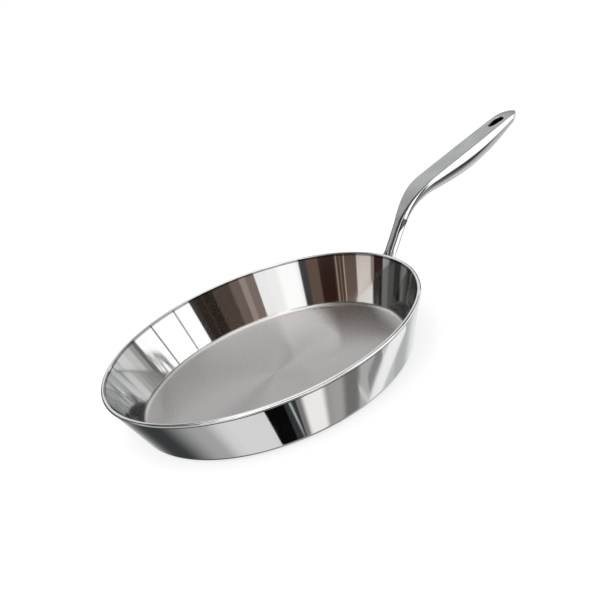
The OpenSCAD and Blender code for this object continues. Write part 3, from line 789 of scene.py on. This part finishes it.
def placedAt(s, sideways, upwards):
    # a section's point: sideways along Y, upwards square to the top line
    s, sideways, upwards = np.broadcast_arrays(s, sideways, upwards)
    middle = topLine(s)
    normal = acrossLine(slopeAt(s))
    return np.stack([middle[..., 0] + normal[..., 0] * upwards, sideways,
                     middle[..., 1] + normal[..., 1] * upwards], -1)


def halfWidth(s):
    narrow = mixed(handle["neckWidth"], handle["gripWidth"], eased(-handle["widenBack"], handle["fullAt"], s))
    past = (s - handle["taperAt"]) / (tipPlace - handle["taperAt"])
    taper = mixed(handle["gripWidth"], handle["tipWidth"], past ** 2)
    return np.where(s < handle["taperAt"], narrow, taper) / 2


def depthAt(s):
    growing = eased(handle["depthLag"] - handle["widenBack"], handle["bellyAt"], s)
    turn = np.pi / 2 * (s - handle["bellyAt"]) / (tipPlace - handle["bellyAt"])
    return np.where(s < handle["bellyAt"], mixed(handle["neckDepth"], handle["gripDepth"], growing),
                    mixed(handle["tipDepth"], handle["gripDepth"], np.cos(turn)))


def edgeAt(s):
    crisp = eased(-handle["widenBack"], handle["fullAt"] - handle["edgeLead"], s)
    return mixed((handle["neckWidth"] - handle["neckFlat"]) / 2, handle["edgeRadius"], crisp)


def shoulderAt(s):
    squared = eased(handle["shoulderLag"] - handle["widenBack"], handle["fullAt"], s)
    return mixed(handle["neckDepth"] / 2, handle["shoulder"], squared)


def powerAt(s):
    return mixed(handle["neckPower"], handle["gripPower"], eased(jointPlace, handle["fullAt"], s))


def sectionAt(s, inset):
    # half width, depth, half flat, shoulder and power of the section inset from the skin
    last, length = tipPlace - inset, handle["endLength"] - inset
    share = np.sqrt(np.clip(1 - np.clip((s - last + length) / length, 0, None) ** 2, 0, 1))
    wide = np.maximum(handle["least"], (halfWidth(s) - inset) * share)
    flat = np.maximum(handle["least"] / 2, wide - edgeAt(s))
    below = np.maximum(handle["least"], (depthAt(s) - inset - handle["plate"]) * share ** handle["endPower"])
    return wide, handle["plate"] + below, flat, shoulderAt(s), powerAt(s)


def sidePoint(section, q):
    # q from -1 at the flat's edge over 0 at the widest place to 1 at the bottom
    wide, deep, flat, shoulder, power = section
    upper = np.clip(-q, 0, 1) * np.pi / 2
    lower = np.clip(q, 0, 1) * np.pi / 2
    edgeX = flat + (wide - flat) * np.cos(upper)
    edgeZ = -shoulder + shoulder * np.sin(upper)
    bellyX = wide * np.clip(np.cos(lower), 0, 1) ** (2 / power)
    bellyZ = -shoulder - (deep - shoulder) * np.sin(lower) ** (2 / power)
    return np.where(q < 0, edgeX, bellyX), np.where(q < 0, edgeZ, bellyZ)


def levelAt(section, top):
    # the q at which the side lies top below the flat
    _, deep, _, shoulder, power = section
    under = np.arcsin(np.clip(np.clip((top - shoulder) / (deep - shoulder), 0, 1) ** (power / 2), 0, 1))
    over = -np.arcsin(np.clip(1 - top / shoulder, -1, 1))
    return np.where(top <= shoulder, over, under) / (np.pi / 2)


def gripPlaces():
    # even steps along the grip, then closer ones round its tip
    roundStart = tipPlace - handle["endLength"]
    turn = np.radians(np.linspace(0, handle["endTurn"], handle["endRings"] + 1)[1:])
    straight = np.linspace(jointPlace, roundStart, handle["gripRings"])
    return np.concatenate([straight, roundStart + handle["endLength"] * np.sin(turn)])


def sideRing(s, inset, top, steps):
    # right side from the level down to the bottom and up the left side, for every place s
    section = [v[:, None] for v in sectionAt(s, inset)]
    q = mixed(levelAt(section, top), 1, np.linspace(0, 1, steps + 1)[None, :])
    x, z = sidePoint(section, q)
    return np.concatenate([x, -x[:, -2::-1]], 1), np.concatenate([z, z[:, -2::-1]], 1)


def flatMarks(s, sideways, upwards, margin=0.0001):
    # for every point its place along the grip and how far it lies off the flat top
    offFlat = np.abs(sideways) - sectionAt(s, 0)[2] - upwards - margin
    return np.stack([np.broadcast_to(s, offFlat.shape), offFlat], -1).reshape(-1, 2)


def loftedPiece(name, s, sideways, upwards):
    # a section of the handle at every place s, with its marks
    s = s[:, None]
    return ringMesh(name, placedAt(s, sideways, upwards), True, marks=flatMarks(s, sideways, upwards))


# The hanging hole: an egg of a large and a small circle with straight sides, square to the grip

hole = {
    "length": 0.0144, "width": 0.0092, "narrow": 0.0064, "back": 0.013, "wall": 0.0014,
    "cut": (-0.03, 0.004),  # from below the belly to above the top
    "arcSteps": 40, "sideSteps": 9, "lipSteps": 12, "rounds": 6,
}
holeBig, holeSmall = hole["width"] / 2, hole["narrow"] / 2
holeStep = hole["length"] - holeBig - holeSmall
holePlace = tipPlace - hole["back"] - holeBig


def eggLine(grow):
    # circles of radius r + grow round 0 and -step, joined by their tangents
    lean = math.acos(-(holeBig - holeSmall) / holeStep)
    big = np.linspace(-lean, lean, hole["arcSteps"] + 1)
    small = np.linspace(lean, 2 * np.pi - lean, hole["arcSteps"] + 1)
    bigLine = (holeBig + grow) * alongLine(big)
    smallLine = (holeSmall + grow) * alongLine(small) - np.array([holeStep, 0])
    shares = np.linspace(0, 1, hole["sideSteps"] + 1)[1:-1, None]
    first = mixed(bigLine[-1], smallLine[0], shares)
    second = mixed(smallLine[-1], bigLine[0], shares)
    return np.concatenate([bigLine, first, smallLine, second])


def holePoint(x, y, v):
    # x along the grip from the large circle's middle, y sideways, v out of the top
    middle = topLine(np.array([holePlace]))[0]
    along, across = alongLine(gripSlope), acrossLine(gripSlope)
    return np.stack([middle[0] + x * along[0] + v * across[0], y,
                     middle[1] + x * along[1] + v * across[1]], -1)


def topHeight(x):
    # the flat top's height over the grip's straight line, below it where the tip bows
    past = np.clip(x - (droopPlace - holePlace), 0, None)
    return np.sqrt(handle["droopRadius"] ** 2 - past ** 2) - handle["droopRadius"]


def bellyHeight(x, y):
    # the skin's height under a point of the hole, found by a few rounds of the section's own formula
    past = np.clip(x - (droopPlace - holePlace), 0, None)
    radius = handle["droopRadius"]
    v = np.full(x.shape, -handle["tipDepth"])
    for _ in range(hole["rounds"]):
        s = np.where(past > 0, droopPlace + radius * np.arctan2(past, v + radius), holePlace + x)
        wide, deep, _, shoulder, power = sectionAt(s, 0)
        share = np.clip(1 - (np.abs(y) / wide) ** power, 0, 1) ** (1 / power)
        down = shoulder + (deep - shoulder) * share
        v = np.where(past > 0, np.sqrt((radius - down) ** 2 - past ** 2) - radius, -down)
    return v


def buildHoleCutter():
    edge = eggLine(hole["wall"])
    rings = np.stack([holePoint(edge[:, 0], edge[:, 1], np.full(len(edge), v)) for v in hole["cut"]])
    return ringMesh("holeCutter", rings, True)


def buildEyelet():
    # a tube with a rounded lip at both ends; its outer face is the cut through plate and belly
    turn = np.linspace(0, np.pi / 2, hole["lipSteps"] + 1)
    grow = hole["wall"] * (1 - np.sin(turn))
    drop = hole["wall"] * (1 - np.cos(turn))
    rings = []
    for g, d in zip(grow, drop):
        edge = eggLine(g)
        rings.append(holePoint(edge[:, 0], edge[:, 1], topHeight(edge[:, 0]) - d))
    for g, d in zip(grow[::-1], drop[::-1]):
        edge = eggLine(g)
        rings.append(holePoint(edge[:, 0], edge[:, 1], bellyHeight(edge[:, 0], edge[:, 1]) + d))
    rings.append(rings[0])
    return ringMesh("hangingEyelet", np.array(rings))


def buildGrip():
    cutter = buildHoleCutter()
    s = gripPlaces()
    sectionTop = [v[:, None] for v in sectionAt(s, 0)]
    q = mixed(levelAt(sectionTop, handle["plate"]), -1, np.linspace(0, 1, handle["plateSteps"] + 1)[None, :])
    x, z = sidePoint(sectionTop, q)
    flatX, baseX = sectionTop[2] * np.array(handle["flatShares"]), x[:, :1] * np.array(handle["baseShares"])
    sideways = np.concatenate([x, flatX, -x[:, ::-1], baseX], 1)
    upwards = np.concatenate([z, 0 * flatX, z[:, ::-1], 0 * baseX + z[:, :1]], 1)
    plate = loftedPiece("gripTopPlate", s, sideways, upwards)
    cutWith(plate, cutter)
    placedPiece(plate, satinPaint, "satin_handle_steel", "grip_top_plate")
    outX, outZ = sideRing(s, 0, handle["plate"], handle["outerSteps"])
    inX, inZ = sideRing(s, handle["belly"], handle["plate"], handle["innerSteps"])
    bellyX = np.concatenate([outX, inX[:, ::-1]], 1)
    bellyZ = np.concatenate([outZ, inZ[:, ::-1]], 1)
    belly = loftedPiece("gripBelly", s, bellyX, bellyZ)
    cutWith(belly, cutter)
    placedPiece(belly, handlePaint, "polished_handle_steel", "grip_belly")
    bpy.data.objects.remove(cutter)
    eyelet = buildEyelet()
    placedPiece(eyelet, eyeletPaint, "polished_handle_steel", "hanging_eyelet")


buildGrip()
print("grip ready")


# The forked neck, and the welds at its feet

fork = {
    "at": 0.0455, "prongWidth": 0.0074, "prongDepth": 0.006, "crotch": 0.012, "spread": 0.040,
    "rootGap": 0.0001, "weldWidth": 0.002, "weldHeight": 0.0012, "weldClear": 0.00005,
    # the weld thins out over so many of its heights below the bead
    "weldFade": 3, "weldLeast": 0.0002, "beadClear": 0.0002, "weldHollow": 0.28,
    "sidePoints": 48, "prongRings": 48, "neckRings": 60, "weldRings": 12, "halvings": 34,
    "neckSharp": 40, "weldSharp": 50,
}
forkPlace = -fork["at"]


def parted(s):
    return eased(0, fork["crotch"], forkPlace - s)


def prongSection(s):
    share = parted(s)
    wide = halfWidth(s)
    return (wide, mixed(depthAt(s), fork["prongDepth"], share), wide - edgeAt(s),
            mixed(shoulderAt(s), fork["prongDepth"] / 2, share), powerAt(s))


def prongPoint(s, q, inner):
    # the neck's section, its outer half slimmed to the prong and its inner half grown round
    share = parted(s)
    half = fork["prongWidth"] / 2
    wide = halfWidth(s)
    x, z = sidePoint(prongSection(s), q)
    innerHalf = half * share
    outerHalf = mixed(handle["neckWidth"] / 2, half, share)
    middle = innerHalf + np.clip(forkPlace - s, 0, None) ** 2 / (2 * fork["spread"])
    return placedAt(s, middle + np.where(inner, -innerHalf, outerHalf) / wide * x, z)


def offWall(points):
    radius = np.hypot(points[..., 0], points[..., 1])
    return ((radius - beadMiddle[0]) * wallOut[0] + (points[..., 2] - beadMiddle[1]) * wallOut[1]
            - beadRadius + pan["beadLip"])


def footPlace(q, inner, gap, low, high):
    # halves the stretch until the line down the prong is gap away from the wall
    low, high = low + np.zeros(len(q)), high + np.zeros(len(q))
    for _ in range(fork["halvings"]):
        middle = (low + high) / 2
        inside = offWall(prongPoint(middle, q, inner)) < gap
        low = np.where(inside, middle, low)
        high = np.where(inside, high, middle)
    return high


def prongLines():
    q = np.linspace(-1, 1, fork["sidePoints"] + 1)
    inner = np.arange(2 * fork["sidePoints"] + 1) > fork["sidePoints"]
    return np.concatenate([q, q[-2::-1]]), inner


def buildNeck():
    q, inner = prongLines()
    feet = footPlace(q, inner, fork["rootGap"], forkPlace - 2 * fork["crotch"] - pan["height"], forkPlace)
    share = np.linspace(0, 1, fork["prongRings"] + 1)[:, None]
    prongPlaces = mixed(feet[None, :], forkPlace, share)
    right = prongPoint(prongPlaces, q[None, :], inner[None, :])
    left = right * np.array([1, -1, 1])
    prongMarks = flatMarks(prongPlaces, *sidePoint(prongSection(prongPlaces), q[None, :]))
    s = np.concatenate([np.linspace(forkPlace, jointPlace, fork["neckRings"]),
                        np.linspace(jointPlace, jointPlace + handle["tang"], fork["neckRings"])])
    x, z = sideRing(s[:fork["neckRings"]], 0, 0, fork["sidePoints"])
    inset, top = handle["belly"] + handle["tangGap"], handle["plate"] + handle["tangGap"]
    tangX, tangZ = sideRing(s[fork["neckRings"]:], inset, top, fork["sidePoints"])
    x, z = np.concatenate([x, tangX]), np.concatenate([z, tangZ])
    x, z = np.concatenate([x, 0 * x[:, :1]], 1), np.concatenate([z, z[:, :1]], 1)
    neck = placedAt(s[:, None], x, z)
    points = np.concatenate([neck.reshape(-1, 3), right.reshape(-1, 3), left.reshape(-1, 3)])
    rows, columns = neck.shape[:2]
    prongRows, prongColumns = right.shape[:2]
    firstRight = rows * columns
    firstLeft = firstRight + prongRows * prongColumns
    faces = gridFaces(rows, columns)
    faces.append(list(range((rows - 1) * columns, rows * columns)))
    near = np.arange(fork["sidePoints"])
    far = prongColumns - 1 - near
    for first in (firstRight, firstLeft):
        faces += gridFaces(prongRows, prongColumns, first)
        faces += (first + np.stack([near, near + 1, far - 1, far], 1)).tolist()
    marks = np.concatenate([flatMarks(s[:, None], x, z), prongMarks, prongMarks])
    neckPiece = finishedMesh("forkedNeck", points, faces, fork["neckSharp"], marks)
    placedPiece(neckPiece, handlePaint, "polished_handle_steel", "forked_neck")
    return right[0], feet, q, inner


def buildWelds(foot, feet, q, inner):
    # a concave fillet from a toe up the prong to a toe on the wall, thin where the bead leaves no room
    clear = fork["weldClear"]
    highest = beadMiddle[1] - beadRadius - fork["beadClear"]
    fade = np.clip((highest - foot[:, 2]) / (fork["weldFade"] * fork["weldHeight"]), 0, 1)
    room = np.maximum(fade * fork["weldHeight"], fork["weldLeast"])
    toePlace = footPlace(q, inner, room, feet, forkPlace + fork["weldWidth"])
    upper = prongPoint(toePlace, q, inner)
    radius = np.hypot(foot[:, 0], foot[:, 1])[:, None]
    normal = np.concatenate([foot[:, :2] / radius * wallOut[0], np.full((len(foot), 1), wallOut[1])], 1)
    run = np.roll(foot, -1, 0) - np.roll(foot, 1, 0)
    sideWay = np.cross(run, normal)
    sideWay /= np.linalg.norm(sideWay, axis=1)[:, None]
    sideWay *= np.sign(np.sum(sideWay * (foot - foot.mean(0)), 1))[:, None]
    sink = (fork["rootGap"] - clear) * normal
    corner = foot + clear * sideWay - sink
    upper = upper + clear * sideWay
    lower = foot + (room / fork["weldHeight"] * fork["weldWidth"])[:, None] * sideWay - sink
    lower[:, 1] = np.maximum(clear, lower[:, 1])
    t = np.linspace(0, 1, fork["weldRings"] + 1)[:, None, None]
    hollow = fork["weldHollow"] * np.sin(np.pi * t) * (corner - (upper + lower) / 2)
    face = mixed(upper, lower, t) + hollow
    rings = np.concatenate([corner[None], face])
    sides = (("footWeldLeft", "foot_weld_left", 1), ("footWeldRight", "foot_weld_right", -1))
    for name, node, mirror in sides:
        points = (rings * np.array([1, mirror, 1])).transpose(1, 0, 2)
        weld = ringMesh(name, np.concatenate([points, points[:1]]), sharpAngle=fork["weldSharp"])
        placedPiece(weld, weldPaint, "weld_steel", node)


buildWelds(*buildNeck())
print("neck and welds ready")
